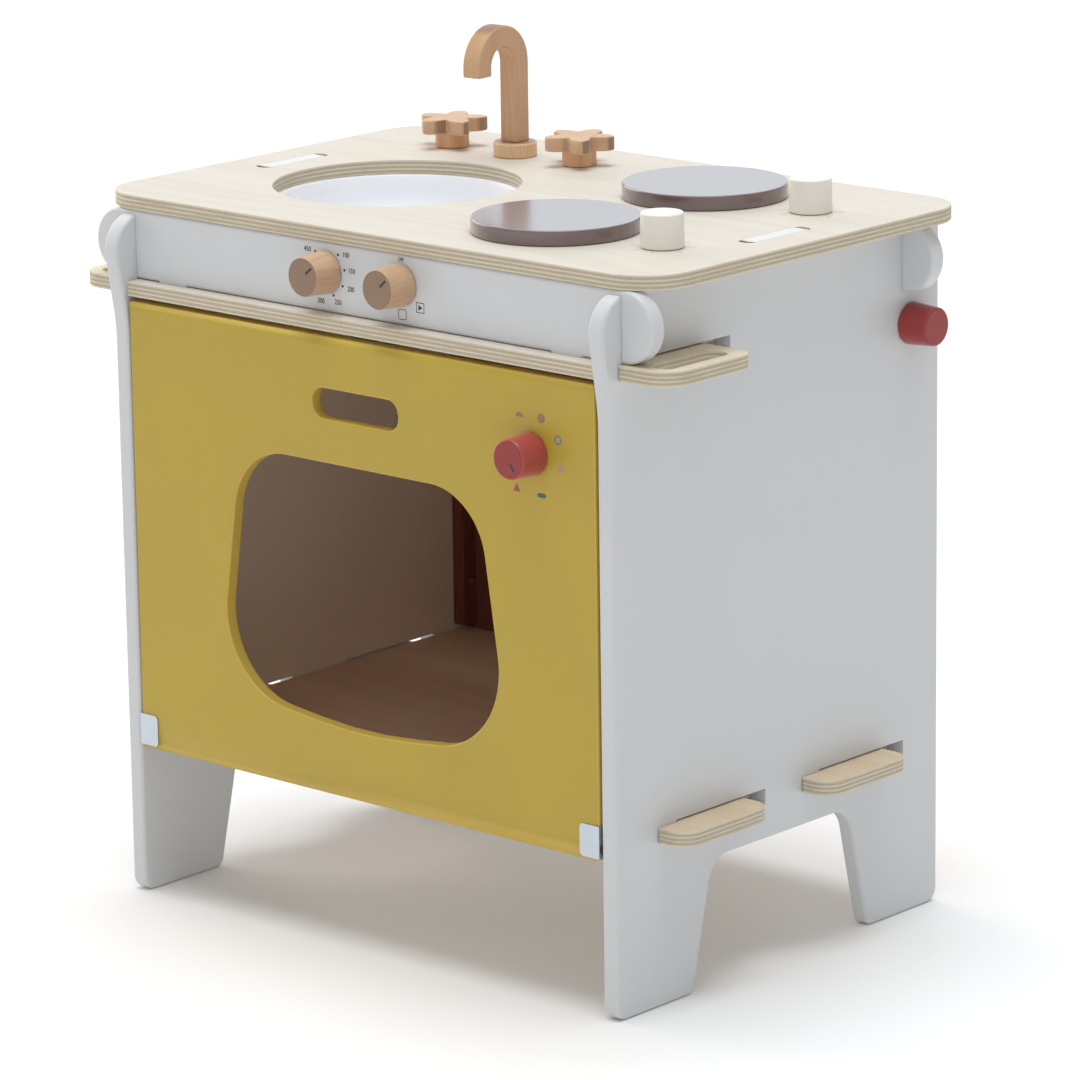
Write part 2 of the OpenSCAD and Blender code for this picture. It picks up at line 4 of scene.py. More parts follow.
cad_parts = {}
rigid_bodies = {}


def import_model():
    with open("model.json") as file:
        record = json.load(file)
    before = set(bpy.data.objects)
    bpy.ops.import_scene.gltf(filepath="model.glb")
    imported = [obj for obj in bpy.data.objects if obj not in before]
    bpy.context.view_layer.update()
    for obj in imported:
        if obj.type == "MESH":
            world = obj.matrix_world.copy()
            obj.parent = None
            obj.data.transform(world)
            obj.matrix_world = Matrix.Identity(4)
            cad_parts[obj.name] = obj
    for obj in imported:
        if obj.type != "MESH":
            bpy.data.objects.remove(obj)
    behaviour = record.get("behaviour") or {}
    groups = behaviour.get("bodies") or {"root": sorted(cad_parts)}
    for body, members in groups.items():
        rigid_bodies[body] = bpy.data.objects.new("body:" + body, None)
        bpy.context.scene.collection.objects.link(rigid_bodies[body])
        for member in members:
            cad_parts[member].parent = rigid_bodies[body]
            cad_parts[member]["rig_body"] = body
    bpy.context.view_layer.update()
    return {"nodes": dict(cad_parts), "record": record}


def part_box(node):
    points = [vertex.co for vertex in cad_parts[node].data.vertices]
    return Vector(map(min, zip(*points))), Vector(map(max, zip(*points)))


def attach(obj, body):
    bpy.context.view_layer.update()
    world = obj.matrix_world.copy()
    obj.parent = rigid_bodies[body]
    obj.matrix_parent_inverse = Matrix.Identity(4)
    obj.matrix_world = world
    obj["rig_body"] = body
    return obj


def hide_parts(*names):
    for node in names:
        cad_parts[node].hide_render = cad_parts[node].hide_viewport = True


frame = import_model()
random.seed(7)
MY = 0.1882                      # local depth minus this is the row frame's Y
MM = 0.001

# soft studio lights: direction they come from (azimuth, elevation), angular size in degrees, strength
WORLD = 0.28
SUNS = {
    "top": (0, 90, 40, 2.30),
    "back": (180, 45, 60, 0.18),
    "front_right": (42, 45, 60, 0.28),
    "right": (90, 45, 60, 0.12),
    "front_low": (0, 15, 50, 0.17),
    "front_right_low": (42, 15, 50, 0.12),
    "back_left_low": (222, 15, 60, 0.44),
    "left_low": (270, 15, 50, 1.25, (1.17, 1.0, 0.90)),
}


# ------------------------------------------------------------------ node trees
class Mat:
    def __init__(self, name):
        self.m = bpy.data.materials.new(name)
        self.m.use_nodes = True
        self.t = self.m.node_tree
        self.t.nodes.clear()
        self.out = self.t.nodes.new("ShaderNodeOutputMaterial")
        self.b = self.t.nodes.new("ShaderNodeBsdfPrincipled")
        self.t.links.new(self.b.outputs[0], self.out.inputs[0])
        self.co = self.t.nodes.new("ShaderNodeTexCoord").outputs["Object"]

    def put(self, sock, v):
        if v is None:
            return
        if isinstance(v, bpy.types.NodeSocket):
            self.t.links.new(v, sock)
        else:
            if sock.type == "RGBA" and len(v) == 3:
                v = (*v, 1)
            sock.default_value = v

    def set(self, **kw):
        for k, v in kw.items():
            self.put(self.b.inputs[k.replace("_", " ")], v)
        return self

    def math(self, op, a, b=None, c=None, clamp=False):
        n = self.t.nodes.new("ShaderNodeMath")
        n.operation = op
        n.use_clamp = clamp
        for i, v in enumerate((a, b, c)):
            self.put(n.inputs[i], v)
        return n.outputs[0]

    def vmath(self, op, a, b=None, scale=None):
        n = self.t.nodes.new("ShaderNodeVectorMath")
        n.operation = op
        self.put(n.inputs[0], a)
        self.put(n.inputs[1], b)
        if scale is not None:
            self.put(n.inputs["Scale"], scale)
        return n.outputs["Value" if op in ("LENGTH", "DOT_PRODUCT", "DISTANCE") else "Vector"]

    def sep(self, v):
        n = self.t.nodes.new("ShaderNodeSeparateXYZ")
        self.put(n.inputs[0], v)
        return n.outputs

    def com(self, x, y, z):
        n = self.t.nodes.new("ShaderNodeCombineXYZ")
        for i, v in enumerate((x, y, z)):
            self.put(n.inputs[i], v)
        return n.outputs[0]

    def mul(self, v, s):
        return self.vmath("MULTIPLY", v, s)

    def noise(self, v, scale, detail=2.0, rough=0.5, dist=0.0, color=False):
        n = self.t.nodes.new("ShaderNodeTexNoise")
        self.put(n.inputs["Vector"], v)
        self.put(n.inputs["Scale"], scale)
        self.put(n.inputs["Detail"], detail)
        self.put(n.inputs["Roughness"], rough)
        self.put(n.inputs["Distortion"], dist)
        return n.outputs["Color" if color else "Fac"]

    def ramp(self, fac, stops, mode="LINEAR"):
        n = self.t.nodes.new("ShaderNodeValToRGB")
        n.color_ramp.interpolation = mode
        el = n.color_ramp.elements
        while len(el) < len(stops):
            el.new(0.5)
        for e, (p, c) in zip(el, stops):
            e.position = p
            e.color = (c, c, c, 1) if isinstance(c, (int, float)) else (*c, 1)
        self.put(n.inputs[0], fac)
        return n.outputs[0]

    def span(self, v, a, b, c=0.0, d=1.0):
        n = self.t.nodes.new("ShaderNodeMapRange")
        n.clamp = True
        for i, x in enumerate((v, a, b, c, d)):
            self.put(n.inputs[i], x)
        return n.outputs[0]

    def mix(self, fac, a, b, mode="MIX"):
        n = self.t.nodes.new("ShaderNodeMix")
        n.data_type = "RGBA"
        n.blend_type = mode
        self.put(n.inputs[0], fac)
        self.put(n.inputs[6], a)
        self.put(n.inputs[7], b)
        return n.outputs[2]

    def bump(self, h, strength, distance, normal=None):
        n = self.t.nodes.new("ShaderNodeBump")
        n.inputs["Strength"].default_value = strength
        n.inputs["Distance"].default_value = distance
        self.put(n.inputs["Height"], h)
        if normal is not None:
            self.put(n.inputs["Normal"], normal)
        return n.outputs[0]

    def normal(self):
        return self.t.nodes.new("ShaderNodeNewGeometry").outputs["Normal"]


def paint(name, col, rough=0.42, tone=0.03, spec=0.5, sheen=0.0, coat=0.0, front=None, painted_oven_bounce=None, painted_top_light=None, side=1):
    """Satin lacquer: fine orange peel, slow change of tone, a trace of the wood below."""
    m = Mat(name)
    slow = m.noise(m.co, 9, 3)
    fine = m.noise(m.co, 620, 3, 0.6)
    mid = m.noise(m.co, 120, 2)
    lo = tuple(c * (1 - tone) for c in col)
    hi = tuple(min(1, c * (1 + tone)) for c in col)
    c = m.mix(m.span(slow, 0.3, 0.7), lo, hi)
    c = m.mix(m.span(m.noise(m.co, 1400, 1), 0.62, 0.72, 0, 0.10), c, tuple(x * 0.8 for x in col))
    if front:       # painted shade and light: the broad face darker and the edges lighter, as light falls on them
        n = m.sep(m.normal())
        c = m.mix(m.span(m.math("ABSOLUTE", n[side]), 0.75, 0.9), c, m.mix(m.span(slow, 0.3, 0.7), tuple(x * (1 - tone) for x in front), tuple(x * (1 + tone) for x in front)))
    if painted_top_light:       # painted top light: faces that look up are lighter, as light from above falls on them
        c = m.mix(m.span(m.sep(m.normal())[2], 0.80, 0.95), c, painted_top_light)
    if painted_oven_bounce:      # painted warm reflected light: the oven's walls, lighter and warmer between its floor and the shelf
        n = m.sep(m.normal())
        q = m.sep(m.co)
        on = m.math("MULTIPLY", m.span(m.math("ABSOLUTE", q[0]), 0.2540, 0.2536), m.span(m.math("ABSOLUTE", n[0]), 0.8, 0.9))
        on = m.math("MULTIPLY", on, m.math("MULTIPLY", m.span(q[2], 0.1455, 0.1465), m.span(q[2], 0.5075, 0.5065)))
        on = m.math("MULTIPLY", on, m.span(q[1], -0.1745, -0.1685))
        c = m.mix(on, c, painted_oven_bounce)
    r = m.span(m.math("ADD", m.math("MULTIPLY", slow, 0.6), m.math("MULTIPLY", fine, 0.4)), 0.3, 0.7, rough - 0.05, rough + 0.06)
    h = m.math("ADD", fine, m.math("MULTIPLY", mid, 1.4))
    m.set(Base_Color=c, Roughness=r, Normal=m.bump(h, 0.35, 0.00006))
    m.b.inputs["Specular IOR Level"].default_value = spec
    if sheen:
        m.b.inputs["Sheen Weight"].default_value = sheen
        m.b.inputs["Sheen Roughness"].default_value = 0.35
    if coat:
        m.b.inputs["Coat Weight"].default_value = coat
        m.b.inputs["Coat Roughness"].default_value = 0.2
    return m.m


def plywood(name, z0, seed, oven_floor_shade=None, tan=None):
    """Birch plywood, 12 mm in seven plies, the veneer's grain along X."""
    m = Mat(name)
    x, y, z = m.sep(m.co)
    nx, ny, nz = m.sep(m.normal())
    p = m.vmath("ADD", m.co, (seed, seed * 0.7, 0))
    # face veneer
    warp = m.noise(m.mul(p, (3.0, 7.0, 1)), 1.0, 3)
    wp = m.vmath("ADD", m.mul(p, (1.6, 60.0, 1.0)), m.com(0, m.math("MULTIPLY", warp, 5.0), 0))
    broad = m.noise(wp, 1.0, 4, 0.55)
    thin = m.noise(m.mul(p, (22.0, 900.0, 1.0)), 1.0, 2, 0.6)
    pore = m.noise(m.mul(p, (160.0, 2600.0, 1.0)), 1.0, 1)
    face = m.mix(m.span(broad, 0.3, 0.7), (0.665, 0.615, 0.535), (0.735, 0.695, 0.632))
    face = m.mix(m.span(thin, 0.35, 0.75, 0, 0.30), face, (0.67, 0.60, 0.485))
    face = m.mix(m.span(pore, 0.66, 0.74, 0, 0.28), face, (0.52, 0.41, 0.27))
    # plies on the edges
    t = m.math("DIVIDE", m.math("SUBTRACT", z, z0), 0.012)
    along = m.math("ADD", x, y)
    wob = m.math("MULTIPLY", m.math("SUBTRACT", m.noise(m.com(m.math("MULTIPLY", along, 9.0), seed, 0), 1.0, 2), 0.5), 0.05)
    t = m.math("ADD", t, wob)
    k = m.math("MULTIPLY", t, 7.0)
    fr = m.math("FRACT", k)
    idx = m.math("FLOOR", k)
    odd = m.math("FRACT", m.math("MULTIPLY", idx, 0.5))            # .5 on every second ply
    dark = m.span(odd, 0.2, 0.3)
    glue = m.math("MAXIMUM", m.span(fr, 0.10, 0.0), m.span(fr, 0.90, 1.0))
    streak = m.noise(m.com(m.math("MULTIPLY", along, 38.0), m.math("MULTIPLY", z, 4200.0), seed), 1.0, 3, 0.6)
    blot = m.noise(m.com(m.math("MULTIPLY", along, 26.0), m.math("MULTIPLY", idx, 7.3), seed), 1.0, 2)
    fibre = m.noise(m.com(m.math("MULTIPLY", along, 900.0), m.math("MULTIPLY", z, 900.0), seed), 1.0, 2)
    light = m.mix(m.span(streak, 0.3, 0.72), (0.60, 0.545, 0.42), (0.75, 0.685, 0.55))
    darkc = m.mix(m.span(fibre, 0.3, 0.7), (0.42, 0.36, 0.25), (0.56, 0.49, 0.365))
    edge = m.mix(dark, light, darkc)
    edge = m.mix(m.span(blot, 0.50, 0.75, 0, 0.45), edge, (0.47, 0.39, 0.27))
    edge = m.mix(m.math("MULTIPLY", glue, m.span(streak, 0.35, 0.6, 0.25, 0.75)), edge, (0.25, 0.19, 0.12))
    void = m.span(m.noise(m.com(m.math("MULTIPLY", along, 55.0), m.math("MULTIPLY", idx, 3.1), seed * 3), 1.0, 1), 0.80, 0.83)
    edge = m.mix(m.math("MULTIPLY", void, dark), edge, (0.10, 0.07, 0.045))
    flat = m.span(m.math("ABSOLUTE", nz), 0.72, 0.86)
    if tan:         # the ends outside the side panels, warmer and more yellow on their top faces
        on = m.math("MULTIPLY", m.span(m.math("ABSOLUTE", x), 0.2675, 0.2685), m.span(nz, 0.7, 0.8))
        face = m.mix(on, face, m.mix(1.0, face, tan, "MULTIPLY"))
    if oven_floor_shade:       # painted warm shade: the oven floor's top face between the sides, browner than the plywood outside
        on = m.math("MULTIPLY", m.span(m.math("ABSOLUTE", x), 0.2535, 0.2525), m.span(nz, 0.7, 0.8))
        face = m.mix(on, face, m.mix(m.span(broad, 0.3, 0.7), tuple(q * 0.88 for q in oven_floor_shade), oven_floor_shade))
    c = m.mix(flat, edge, face)
    hgt = m.mix(flat, m.math("SUBTRACT", m.math("MULTIPLY", fibre, 0.7), m.math("MULTIPLY", glue, 0.8)), thin)
    m.set(Base_Color=c, Roughness=m.span(thin, 0.3, 0.7, 0.46, 0.58), Normal=m.bump(hgt, 0.30, 0.00007))
    m.b.inputs["Specular IOR Level"].default_value = 0.35
    return m.m


def beech(name, axis, centre, seed, dark=1.0, pith=(0.022, 0.031), tint=(0.95, 0.95, 0.92)):
    """Beech: growth rings about a pith beside the piece, small rays and pores along the axis, a darker end grain."""
    m = Mat(name)
    q = m.vmath("SUBTRACT", m.co, tuple(centre))
    x, y, z = m.sep(q)
    n = m.sep(m.normal())
    i = "XYZ".index(axis)
    a = (x, y, z)[i]
    u, v = [(y, z), (x, z), (x, y)][i]
    wob = m.noise(m.vmath("ADD", m.mul(q, (14, 14, 14)), (seed, 0, 0)), 1.0, 2)
    du = m.math("ADD", u, m.math("ADD", pith[0], m.math("MULTIPLY", wob, 0.004)))
    dv = m.math("ADD", v, m.math("ADD", pith[1], m.math("MULTIPLY", wob, 0.003)))
    r = m.math("SQRT", m.math("ADD", m.math("MULTIPLY", du, du), m.math("MULTIPLY", dv, dv)))
    ring = m.math("FRACT", m.math("MULTIPLY", m.math("ADD", r, m.math("MULTIPLY", m.noise(m.com(r, seed, 0), 300, 1), 0.0011)), 420.0))
    late = m.math("MULTIPLY", m.span(ring, 0.35, 0.95), m.span(ring, 1.0, 0.93))
    stretch = {0: (40, 900, 900), 1: (900, 40, 900), 2: (900, 900, 40)}[i]
    ray = m.noise(m.vmath("ADD", m.mul(q, tuple(s * 1.0 for s in stretch)), (seed, seed, seed)), 1.0, 2, 0.6)
    fleck = m.noise(m.mul(q, tuple(s * (2.2 if s > 100 else 4.5) for s in stretch)), 1.0, 1)
    slow = m.noise(m.vmath("ADD", m.mul(q, tuple(s / 22.0 for s in stretch)), (0, seed, 0)), 1.0, 2)
    base = m.mix(m.span(slow, 0.3, 0.7), (0.525 * dark, 0.325 * dark, 0.195 * dark), (0.625 * dark, 0.425 * dark, 0.275 * dark))
    c = m.mix(m.math("MULTIPLY", late, 0.42), base, (0.47 * dark, 0.25 * dark, 0.135 * dark))
    c = m.mix(m.span(ray, 0.42, 0.72, 0, 0.25), c, (0.70 * dark, 0.51 * dark, 0.35 * dark))
    c = m.mix(m.span(fleck, 0.67, 0.74, 0, 0.55), c, (0.36 * dark, 0.19 * dark, 0.10 * dark))
    end = m.span(m.math("ABSOLUTE", n[i]), 0.80, 0.92)
    endc = m.mix(m.math("MULTIPLY", late, 0.6), (0.315 * dark, 0.20 * dark, 0.14 * dark), (0.228 * dark, 0.128 * dark, 0.083 * dark))
    pore = m.noise(m.mul(q, (1500, 1500, 1500)), 1.0, 1)
    endc = m.mix(m.span(pore, 0.60, 0.70, 0, 0.35), endc, (0.2, 0.11, 0.075))
    c = m.mix(1.0, m.mix(end, c, endc), tint, "MULTIPLY")
    m.set(Base_Color=c, Roughness=m.span(slow, 0.3, 0.7, 0.42, 0.55), Normal=m.bump(m.math("ADD", m.math("MULTIPLY", ray, 0.7), m.math("MULTIPLY", fleck, -0.5)), 0.25, 0.00006))
    m.b.inputs["Specular IOR Level"].default_value = 0.5
    m.b.inputs["Sheen Weight"].default_value = 0.22
    m.b.inputs["Sheen Roughness"].default_value = 0.35
    return m.m


def hardboard():
    m = Mat("brown_hardboard")
    f = m.noise(m.co, 700, 4, 0.7)
    s = m.noise(m.mul(m.co, (40, 40, 8)), 1.0, 3)
    c = m.mix(m.span(f, 0.3, 0.7), (0.175, 0.052, 0.038), (0.30, 0.098, 0.075))
    c = m.mix(m.span(s, 0.4, 0.7, 0, 0.4), c, (0.34, 0.12, 0.095))
    m.set(Base_Color=c, Roughness=m.span(f, 0.3, 0.7, 0.45, 0.62), Normal=m.bump(f, 0.4, 0.0001))
    return m.m


def brown_wood():
    m = Mat("brown_wood")
    f = m.noise(m.mul(m.co, (500, 500, 18)), 1.0, 3, 0.6)
    c = m.mix(m.span(f, 0.3, 0.7), (0.14, 0.036, 0.022), (0.28, 0.085, 0.055))
    m.set(Base_Color=c, Roughness=m.span(f, 0.3, 0.7, 0.42, 0.6), Normal=m.bump(f, 0.4, 0.0001))
    return m.m


def lacquer():
    m = Mat("hob_lacquer")
    f = m.noise(m.co, 260, 2)
    s = m.noise(m.co, 14, 2)
    n = m.sep(m.normal())
    c = m.mix(m.span(s, 0.3, 0.7), (0.130, 0.080, 0.078), (0.156, 0.101, 0.098))
    # painted reflection: the top face lighter and bluer than the mauve rim, for the bright surroundings it mirrors
    c = m.mix(m.span(n[2], 0.75, 0.95), c, m.mix(m.span(s, 0.3, 0.7), (0.198, 0.186, 0.220), (0.225, 0.212, 0.248)))
    m.set(Base_Color=c, Roughness=m.span(f, 0.3, 0.7, 0.16, 0.22), Normal=m.bump(f, 0.06, 0.00005))
    m.b.inputs["IOR"].default_value = 1.6
    m.b.inputs["Coat Weight"].default_value = 0.6
    m.b.inputs["Coat Roughness"].default_value = 0.16
    m.b.inputs["Coat IOR"].default_value = 1.7
    return m.m


def basin():
    m = Mat("basin_plastic")
    f = m.noise(m.co, 420, 2)
    s = m.noise(m.co, 16, 2)
    c = m.mix(m.span(s, 0.3, 0.7), (0.905, 0.922, 0.962), (0.925, 0.942, 0.976))
    m.set(Base_Color=c, Roughness=m.span(f, 0.3, 0.7, 0.26, 0.34), Normal=m.bump(f, 0.04, 0.00004))
    return m.m


def metal(name, col, rough, axis_scale, coat=0.0):
    m = Mat(name)
    f = m.noise(m.mul(m.co, axis_scale), 1.0, 3, 0.6)
    s = m.noise(m.co, 60, 3)
    c = m.mix(m.span(s, 0.3, 0.7), tuple(x * 0.93 for x in col), col)
    m.set(Base_Color=c, Metallic=1.0, Roughness=m.span(m.math("ADD", m.math("MULTIPLY", f, 0.6), m.math("MULTIPLY", s, 0.4)), 0.3, 0.7, rough - 0.06, rough + 0.08), Normal=m.bump(f, 0.12, 0.00003))
    return m.m


def plastic(name, col, rough):
    m = Mat(name)
    f = m.noise(m.co, 900, 3)
    s = m.noise(m.co, 30, 2)
    c = m.mix(m.span(s, 0.3, 0.7), tuple(x * 0.95 for x in col), col)
    m.set(Base_Color=c, Roughness=m.span(f, 0.3, 0.7, rough - 0.05, rough + 0.05), Normal=m.bump(f, 0.3, 0.00005))
    return m.m


def ink(name, col):
    """Printed ink, slightly uneven."""
    m = Mat(name)
    f = m.noise(m.co, 1500, 3)
    c = m.mix(m.span(f, 0.35, 0.65), tuple(x * 0.9 for x in col), tuple(min(1, x * 1.1 + 0.004) for x in col))
    m.set(Base_Color=c, Roughness=m.span(f, 0.3, 0.7, 0.5, 0.62), Normal=m.bump(f, 0.2, 0.00003))
    return m.m


SLOT = {s["node"]: s["material_slot"] for s in frame["record"]["subparts"]} if "subparts" in frame["record"] else {}
# white paint; the oven walls take painted warm reflected light, the faces that look up a painted top light
WHITE = paint("painted_white", (0.645, 0.668, 0.690), 0.42, 0.012, painted_oven_bounce=(0.93, 0.825, 0.685), painted_top_light=(0.755, 0.762, 0.770))
# door yellow with painted shade: the broad face darker and the edges lighter, as light falls on them
YELLOW = paint("painted_yellow", (0.64, 0.455, 0.085), 0.44, 0.03, front=(0.493, 0.357, 0.040))
# door knob red with painted shade: its broad face darker than its rim and sides
RED = paint("painted_red", (0.40, 0.064, 0.060), 0.30, 0.03, sheen=0.35, front=(0.298, 0.024, 0.020))
# shaded copy of the red paint for the side knob: darker all over, its outward face darker still, as painted shade
RED_SHADED_COPY = paint("painted_red_side_shaded", (0.335, 0.036, 0.033), 0.34, 0.03, sheen=0.2, front=(0.298, 0.018, 0.018), side=0)
CREAM = paint("painted_cream", (0.875, 0.86, 0.80), 0.38, 0.015)
STEEL = metal("hinge_steel", (0.575, 0.635, 0.685), 0.34, (300, 300, 20))
SCREW = metal("screw_steel", (0.60, 0.61, 0.64), 0.30, (260, 260, 260))
MATS = {
    "painted_white": WHITE, "painted_yellow": YELLOW, "painted_red": RED, "painted_cream": CREAM,
    "brown_hardboard": hardboard(), "brown_wood": brown_wood(), "hob_lacquer": lacquer(),
    "basin_plastic": basin(), "catch_plastic": plastic("catch_plastic", (0.72, 0.72, 0.69), 0.4),
    "black_plastic": plastic("black_plastic", (0.018, 0.018, 0.02), 0.45),
    "magnet": metal("magnet", (0.16, 0.16, 0.175), 0.5, (400, 400, 400)),
    "hinge_steel": STEEL, "screw_steel": SCREW,
}
OWN = {
    "side_knob": RED_SHADED_COPY,
    "worktop": plywood("plywood_worktop", 0.576, 0.3),
    "upper_shelf": plywood("plywood_upper_shelf", 0.507, 4.1, None, (1.08, 1.01, 0.86)),
    # oven floor: painted warm shade on its top face inside the oven; its ends outside the sides warmer and more yellow
    # on top
    "bottom_shelf": plywood("plywood_oven_floor", 0.134, 8.7, (0.80, 0.555, 0.39), (1.08, 0.93, 0.74)),
}


def middle(n):
    lo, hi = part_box(n)
    return (lo + hi) / 2


TINT = {"spout": (0.96, 0.90, 0.79), "left_tap_hub": (1.10, 0.99, 0.86), "right_tap_hub": (1.16, 1.07, 0.95),
        "spout_collar": (1.0, 1.05, 1.0)}
for n, ax, sd, dk, pith in [
    ("temperature_knob", "Y", 1.3, 1.0, (0.030, 0.026)), ("program_knob", "Y", 5.9, 1.0, (-0.034, 0.030)),
    ("left_tap_star", "X", 2.2, 1.2, (0.05, 0.02)), ("left_tap_hub", "Z", 3.4, 1.12, (0.03, 0.045)),
    ("right_tap_star", "X", 7.1, 1.2, (-0.04, 0.035)), ("right_tap_hub", "Z", 6.5, 1.12, (0.05, -0.02)),
    ("spout", "Z", 9.2, 1.08, (0.02, 0.05)), ("spout_collar", "Z", 4.8, 1.36, (0.04, 0.03)),
]:
    OWN[n] = beech("beech_" + n, ax, middle(n), sd, dk, pith, TINT.get(n, (0.95, 0.95, 0.92)))


# ------------------------------------------------------------------ refined copies of the CAD nodes
def loc(v):
    """Row frame, metres, to local millimetres."""
    return v.x * 1000, (v.y + MY) * 1000, v.z * 1000


def near(a, b, tol=0.06):
    return abs(a - b) < tol


def regions(bm):
    """Flat regions of more than one face, each a set of faces."""
    seen, out = set(), []
    for f in bm.faces:
        if f in seen:
            continue
        seen.add(f)
        stack, reg = [f], {f}
        while stack:
            g = stack.pop()
            for e in g.edges:
                if len(e.link_faces) == 2 and e.calc_face_angle(1.0) < 0.0009:
                    for h in e.link_faces:
                        if h not in seen:
                            seen.add(h)
                            reg.add(h)
                            stack.append(h)
        if len(reg) > 1:
            out.append(reg)
    return out


def open_up(bm, cut=0.42):
    """Cuts every flat face that has holes along lines through the holes, and keeps those lines, so that no merged face has a hole in it."""
    holes = []
    for reg in regions(bm):
        rim = [e for f in reg for e in f.edges if sum(h in reg for h in e.link_faces) == 1]
        at = {}
        for e in rim:
            for v in e.verts:
                at.setdefault(v, []).append(e)
        left, loops = set(rim), []
        while left:
            stack, verts = [left.pop()], set()
            while stack:
                e = stack.pop()
                for v in e.verts:
                    verts.add(v)
                    for x in at[v]:
                        if x in left:
                            left.discard(x)
                            stack.append(x)
            loops.append([v.co for v in verts])
        if len(loops) < 2:
            continue
        n = next(iter(reg)).normal
        k = 1 if abs(n.z) > 0.9 else 2
        size = lambda pts: sum(max(c[i] for c in pts) - min(c[i] for c in pts) for i in range(3))
        loops.sort(key=size)
        for pts in loops[:-1]:
            holes.append((k, min(c[k] for c in pts), max(c[k] for c in pts)))
    holes.sort(key=lambda h: (h[0], h[2] - h[1], h[1]))
    planes = []
    for k, a, b in holes:
        if not any(q == k and a + 0.3 * (b - a) < c < b - 0.3 * (b - a) for q, c in planes):
            planes.append((k, a + cut * (b - a)))
    for k, c in planes:
        no = Vector((0, 0, 0))
        no[k] = 1
        bmesh.ops.bisect_plane(bm, geom=bm.verts[:] + bm.edges[:] + bm.faces[:], dist=5e-5, plane_co=no * c, plane_no=no)
        for e in bm.edges:
            if all(abs(v.co[k] - c) < 6e-5 for v in e.verts):
                e.seam = True


# where the cut runs through a hole, as a share of its height, so that it keeps clear of other corners
CUT = {"door": 0.62, "upper_shelf": 0.20}


def refine(node, width, weight, segments=4, sharp=30.0, mat=None, profile=0.5, clamp=True):
    """Copy of a CAD node with clean faces and rounded edges. weight(e, p, q) gives each sharp edge's share of width."""
    src = frame["nodes"][node]
    bm = bmesh.new()
    bm.from_mesh(src.data)
    bmesh.ops.remove_doubles(bm, verts=bm.verts, dist=4e-5)
    open_up(bm, CUT.get(node, 0.42))
    bmesh.ops.dissolve_limit(bm, angle_limit=math.radians(0.7), verts=bm.verts, edges=bm.edges, delimit={"SEAM"})
    lay = bm.edges.layers.float.new("bevel_weight_edge")
    for f in bm.faces:
        f.smooth = True
    for e in bm.edges:
        e.smooth = True
        if len(e.link_faces) != 2:
            continue
        if math.degrees(e.calc_face_angle(0.0)) > sharp:
            w = weight(e, loc(e.verts[0].co), loc(e.verts[1].co)) if callable(weight) else weight
            if not clamp and e.calc_length() < 0.00045:      # facets of screw holes
                w = 0
            if w > 0:
                e[lay] = w
            else:
                e.smooth = False
    me = bpy.data.meshes.new("fine_" + node)
    bm.to_mesh(me)
    bm.free()
    ob = bpy.data.objects.new("fine_" + node, me)
    bpy.context.scene.collection.objects.link(ob)
    if width > 0:
        b = ob.modifiers.new("edge", "BEVEL")
        b.width = width * MM
        b.segments = segments
        b.limit_method = "WEIGHT"
        b.profile = profile
        b.use_clamp_overlap = clamp
        b.miter_outer = "MITER_ARC"
    w = ob.modifiers.new("normals", "WEIGHTED_NORMAL")
    w.keep_sharp = True
    w.weight = 60
    s = SLOT.get(node, "screw_steel")
    me.materials.clear()
    me.materials.append(mat or OWN.get(node) or MATS[s])
    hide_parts(node)
    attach(ob, src["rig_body"])
    return ob


XI, XO = 253.0, 268.0


def side_weight(e, p, q):
    on = all(near(abs(v[0]), XI) or near(abs(v[0]), XO) for v in (p, q)) and near(p[0], q[0])
    if not on:
        return 0.12
    for (y0, y1, z0, z1) in [(72, 180, 134, 147.3), (247.5, 355.5, 134, 147.3), (32, 140, 507, 520.3), (249.8, 356, 507, 520.3)]:
        if all(y0 - .2 < v[1] < y1 + .2 and z0 - .2 < v[2] < z1 + .2 for v in (p, q)):
            return 0.12
    for y0 in (12.3, 352.4):
        if all(y0 - .2 < v[1] < y0 + 15.6 and v[2] > 547.3 for v in (p, q)):
            return 0.12
    if all(math.hypot(v[1] - 363.7, v[2] - 492.2) < 5 or math.hypot(v[1] - 6, v[2] - 136.5) < 5 for v in (p, q)):
        return 0
    if all(v[2] > 586 for v in (p, q)):
        return 0.2
    if all(v[2] > 575.5 for v in (p, q)):
        return 0
    if all(v[1] > 370 and v[1] < 398 and near(abs(v[0]), XI) and 180 < v[2] < 480 for v in (p, q)):
        return 0.05
    return 1.0


def rail_weight(y0):
    def w(e, p, q):
        on = (all(near(v[1], y0) for v in (p, q)) or all(near(v[1], y0 + 15) for v in (p, q)))
        if not on:
            return 0.12
        if all(v[2] < 519.25 for v in (p, q)):                       # locking tabs
            return 0.12
        if all(252 < abs(v[0]) < 269 and v[2] < 548 for v in (p, q)):   # halving joints
            return 0.1
        if all(math.hypot(v[0] - k, v[2] - 551.6) < 5 for v in (p, q) for k in (-39,)) or all(math.hypot(v[0] - 41.2, v[2] - 551.6) < 5 for v in (p, q)):
            return 0
        return 1.0
    return w


def door_weight(e, p, q):
    on = all(near(v[1], 0) for v in (p, q)) or all(near(v[1], 12) for v in (p, q))
    if not on:
        return 0.15
    if all(math.hypot(v[0] - 186.6, v[2] - 440.7) < 5 for v in (p, q)):
        return 0
    if all(math.hypot(abs(v[0]) - 240.3, v[2] - 148.5) < 3 or math.hypot(abs(v[0]) - 12, v[2] - 494.5) < 3 for v in (p, q)):
        return 0
    return 1.0


